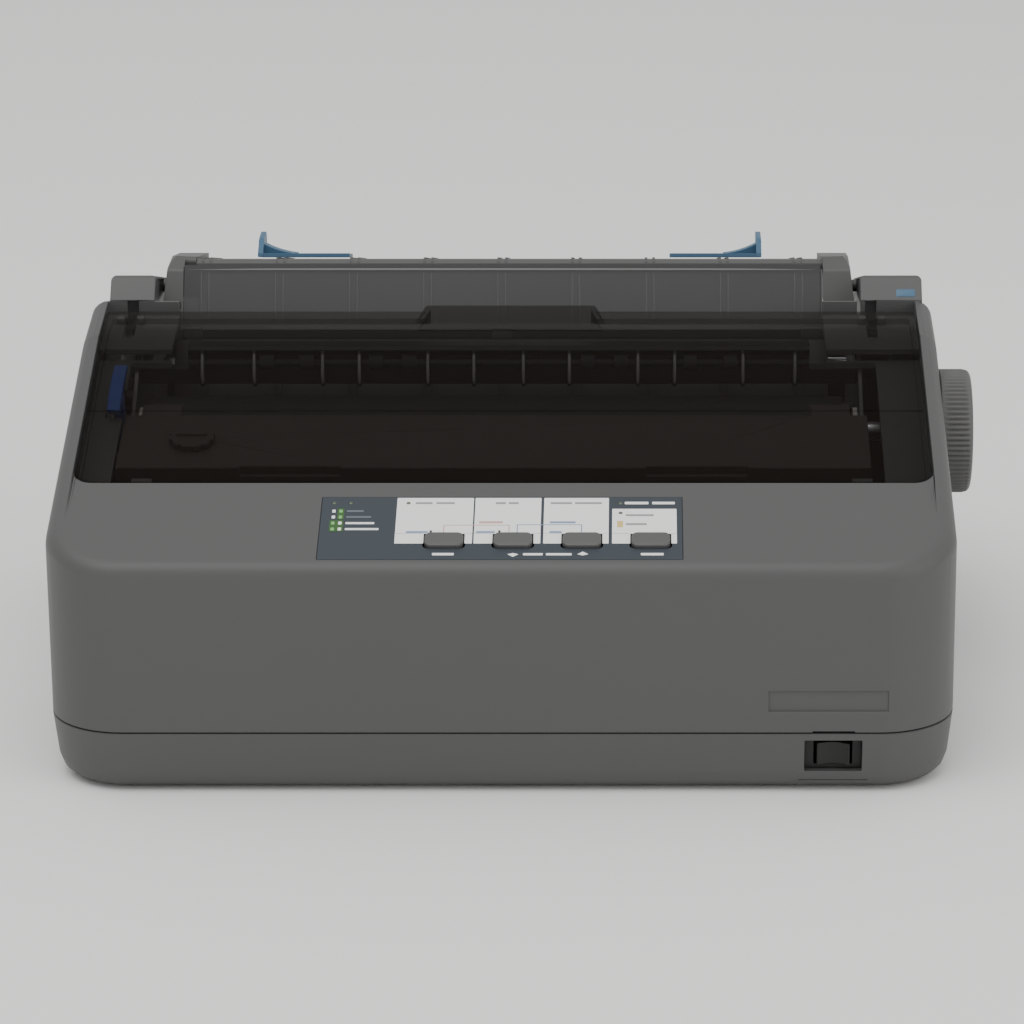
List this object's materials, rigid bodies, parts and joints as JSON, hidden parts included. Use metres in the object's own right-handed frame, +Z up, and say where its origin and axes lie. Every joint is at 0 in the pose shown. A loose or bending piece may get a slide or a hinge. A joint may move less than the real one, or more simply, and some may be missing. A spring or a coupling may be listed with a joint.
{
  "type": "dot matrix printer",
  "caption": "Narrow-carriage dot matrix printer in grey plastic with a hinged smoked cover, four panel keys, blue edge guides and a fluted platen knob",
  "frame": {"origin": "middle of the base where the rubber feet stand, with the knob counted in the width", "axes": "+X to the right as seen from the front, +Y to the back, +Z up"},
  "size_m": [0.3616, 0.275, 0.1541],
  "materials": {
    "case_grey": "fine-grained moulded case plastic",
    "cover_smoke": "smoked translucent sheet, polished",
    "window_smoke": "smoked window, satin",
    "guide_grey": "satin moulded plastic",
    "edge_blue": "satin blue-grey plastic",
    "panel_slate": "printed panel film",
    "key_grey": "satin key caps",
    "lamp_green": "clear green lamp lenses",
    "black_plastic": "black moulded plastic",
    "lever_blue": "blue moulded plastic",
    "knob_grey": "fluted knob, fine-grained",
    "steel": "ground and plated steel",
    "sheet_steel": "zinc-plated sheet",
    "rubber": "dull black rubber",
    "nylon": "natural nylon",
    "brass": "turned brass",
    "head_metal": "dark finned die casting",
    "motor_grey": "plated motor can",
    "board_green": "lacquered circuit board",
    "board_tan": "lacquered circuit board",
    "ribbon_ink": "inked nylon ribbon"
  },
  "bodies": {
    "case": {"lower_case": "case_grey", "upper_case": "case_grey", "feet": "rubber", "case_screws": "steel", "paper_window": "window_smoke", "panel_plate": "panel_slate", "panel_board": "board_green", "status_lamps": "lamp_green", "power_switch": "black_plastic", "platen_bushes": "nylon", "feed_motor": "motor_grey", "tractor_rail": "steel", "left_frame": "sheet_steel", "right_frame": "sheet_steel", "base_frame": "sheet_steel", "carriage_rod": "steel", "carriage_rail": "sheet_steel", "carriage_motor": "motor_grey", "carriage_belt": "rubber", "ribbon_cartridge": "black_plastic", "ink_ribbon": "ribbon_ink", "tension_unit": "black_plastic", "paper_pan": "black_plastic", "paper_chute": "black_plastic", "main_board": "board_green", "power_board": "board_tan", "parallel_socket": "sheet_steel", "usb_socket": "sheet_steel", "mains_inlet": "black_plastic"},
    "cover": {"printer_cover": "cover_smoke"},
    "guide": {"paper_guide": "guide_grey"},
    "edge_left": {"edge_guide_left": "edge_blue"},
    "edge_right": {"edge_guide_right": "edge_blue"},
    "tear_off": {"tear_off_key": "key_grey"},
    "feed": {"feed_key": "key_grey"},
    "load": {"load_key": "key_grey"},
    "pause": {"pause_key": "key_grey"},
    "rocker": {"power_rocker": "black_plastic"},
    "platen": {"platen_knob": "knob_grey", "platen_shaft": "steel", "platen_roller": "rubber", "platen_gear": "nylon"},
    "feed_wheel": {"feed_idler": "nylon"},
    "pinion": {"feed_pinion": "brass"},
    "tractor_wheel": {"tractor_idler": "nylon"},
    "tractor_drive": {"tractor_gear": "nylon", "tractor_shaft": "steel"},
    "left_tractor": {"tractor_left": "black_plastic"},
    "right_tractor": {"tractor_right": "black_plastic"},
    "left_lid": {"tractor_lid_left": "black_plastic"},
    "right_lid": {"tractor_lid_right": "black_plastic"},
    "head_carriage": {"carriage": "black_plastic", "print_head": "head_metal"},
    "drive_pulley": {"motor_pulley": "brass"},
    "idle_pulley": {"tension_pulley": "nylon"},
    "ribbon_wheel": {"ribbon_knob": "black_plastic"},
    "roller_bar": {"tension_rollers": "rubber"},
    "thickness": {"thickness_lever": "lever_blue"},
    "release": {"release_lever": "edge_blue"}
  },
  "joints": [
    {"name": "cover_hinge", "type": "hinge", "parent": "case", "child": "cover", "pos_m": [-0.0108, 0.0441, 0.13609], "axis": [-1, 0, 0], "range_deg": [0, 92]},
    {"name": "guide_hinge", "type": "hinge", "parent": "case", "child": "guide", "pos_m": [-0.00845, 0.0885, 0.1395], "axis": [1, 0, 0], "range_deg": [0, 40]},
    {"name": "edge_left_slide", "type": "slide", "parent": "guide", "child": "edge_left", "axis": [1, 0, 0], "range_m": [-0.02, 0.055]},
    {"name": "edge_right_slide", "type": "slide", "parent": "guide", "child": "edge_right", "axis": [1, 0, 0], "range_m": [-0.055, 0.02]},
    {"name": "tear_off_press", "type": "slide", "parent": "case", "child": "tear_off", "axis": [0, 0.2924, -0.9563], "range_m": [0, 0.0009], "stiffness_N_per_m": 300, "springref_m": -0.0001},
    {"name": "feed_press", "type": "slide", "parent": "case", "child": "feed", "axis": [0, 0.2924, -0.9563], "range_m": [0, 0.0009], "stiffness_N_per_m": 300, "springref_m": -0.0001},
    {"name": "load_press", "type": "slide", "parent": "case", "child": "load", "axis": [0, 0.2924, -0.9563], "range_m": [0, 0.0009], "stiffness_N_per_m": 300, "springref_m": -0.0001},
    {"name": "pause_press", "type": "slide", "parent": "case", "child": "pause", "axis": [0, 0.2924, -0.9563], "range_m": [0, 0.0009], "stiffness_N_per_m": 300, "springref_m": -0.0001},
    {"name": "power_rock", "type": "hinge", "parent": "case", "child": "rocker", "pos_m": [0.1198, -0.1285, 0.01565], "axis": [0, 0, 1], "range_deg": [0, 10]},
    {"name": "platen_spin", "type": "hinge", "parent": "case", "child": "platen", "pos_m": [-0.0114, 0.0125, 0.099], "axis": [1, 0, 0], "continuous": true},
    {"name": "feed_wheel_spin", "type": "hinge", "parent": "case", "child": "feed_wheel", "pos_m": [-0.1718, 0.029, 0.07042], "axis": [1, 0, 0], "continuous": true},
    {"name": "pinion_spin", "type": "hinge", "parent": "case", "child": "pinion", "pos_m": [-0.1718, 0.04244, 0.05699], "axis": [1, 0, 0], "continuous": true},
    {"name": "tractor_wheel_spin", "type": "hinge", "parent": "case", "child": "tractor_wheel", "pos_m": [-0.1718, 0.04941, 0.10158], "axis": [1, 0, 0], "continuous": true},
    {"name": "tractor_spin", "type": "hinge", "parent": "case", "child": "tractor_drive", "pos_m": [-0.0114, 0.08233, 0.10388], "axis": [1, 0, 0], "continuous": true},
    {"name": "left_tractor_slide", "type": "slide", "parent": "case", "child": "left_tractor", "axis": [1, 0, 0], "range_m": [0, 0.05]},
    {"name": "right_tractor_slide", "type": "slide", "parent": "case", "child": "right_tractor", "axis": [1, 0, 0], "range_m": [-0.05, 0]},
    {"name": "left_lid_hinge", "type": "hinge", "parent": "left_tractor", "child": "left_lid", "pos_m": [-0.1358, 0.08833, 0.11348], "axis": [0, -1, 0], "range_deg": [0, 90]},
    {"name": "right_lid_hinge", "type": "hinge", "parent": "right_tractor", "child": "right_lid", "pos_m": [0.113, 0.08833, 0.11348], "axis": [0, 1, 0], "range_deg": [0, 90]},
    {"name": "carriage_slide", "type": "slide", "parent": "case", "child": "head_carriage", "axis": [1, 0, 0], "range_m": [0, 0.206]},
    {"name": "drive_pulley_spin", "type": "hinge", "parent": "case", "child": "drive_pulley", "pos_m": [-0.1364, -0.0505, 0.043], "axis": [0, 0, 1], "continuous": true},
    {"name": "idle_pulley_spin", "type": "hinge", "parent": "case", "child": "idle_pulley", "pos_m": [0.1136, -0.0505, 0.043], "axis": [0, 0, 1], "continuous": true},
    {"name": "ribbon_wheel_spin", "type": "hinge", "parent": "case", "child": "ribbon_wheel", "pos_m": [-0.1314, -0.03615, 0.11008], "axis": [0, -0.2538, 0.9673], "continuous": true},
    {"name": "roller_bar_spin", "type": "hinge", "parent": "case", "child": "roller_bar", "pos_m": [-0.0114, 0.0215, 0.1252], "axis": [1, 0, 0], "continuous": true},
    {"name": "thickness_swing", "type": "hinge", "parent": "case", "child": "thickness", "pos_m": [-0.1638, 0.0085, 0.062], "axis": [1, 0, 0], "range_deg": [0, 8]},
    {"name": "release_swing", "type": "hinge", "parent": "case", "child": "release", "pos_m": [0.1547, 0.0765, 0.108], "axis": [-1, 0, 0], "range_deg": [0, 18]}
  ],
  "couplings": [
    {"joint": "feed_wheel_spin", "follows": "platen_spin", "ratio": -1.3571},
    {"joint": "pinion_spin", "follows": "platen_spin", "ratio": 3.8},
    {"joint": "tractor_wheel_spin", "follows": "platen_spin", "ratio": -1.0556},
    {"joint": "tractor_spin", "follows": "platen_spin", "ratio": 1.2667},
    {"joint": "drive_pulley_spin", "follows": "carriage_slide", "rad_per_m": -151.52},
    {"joint": "idle_pulley_spin", "follows": "carriage_slide", "rad_per_m": -151.52}
  ]
}
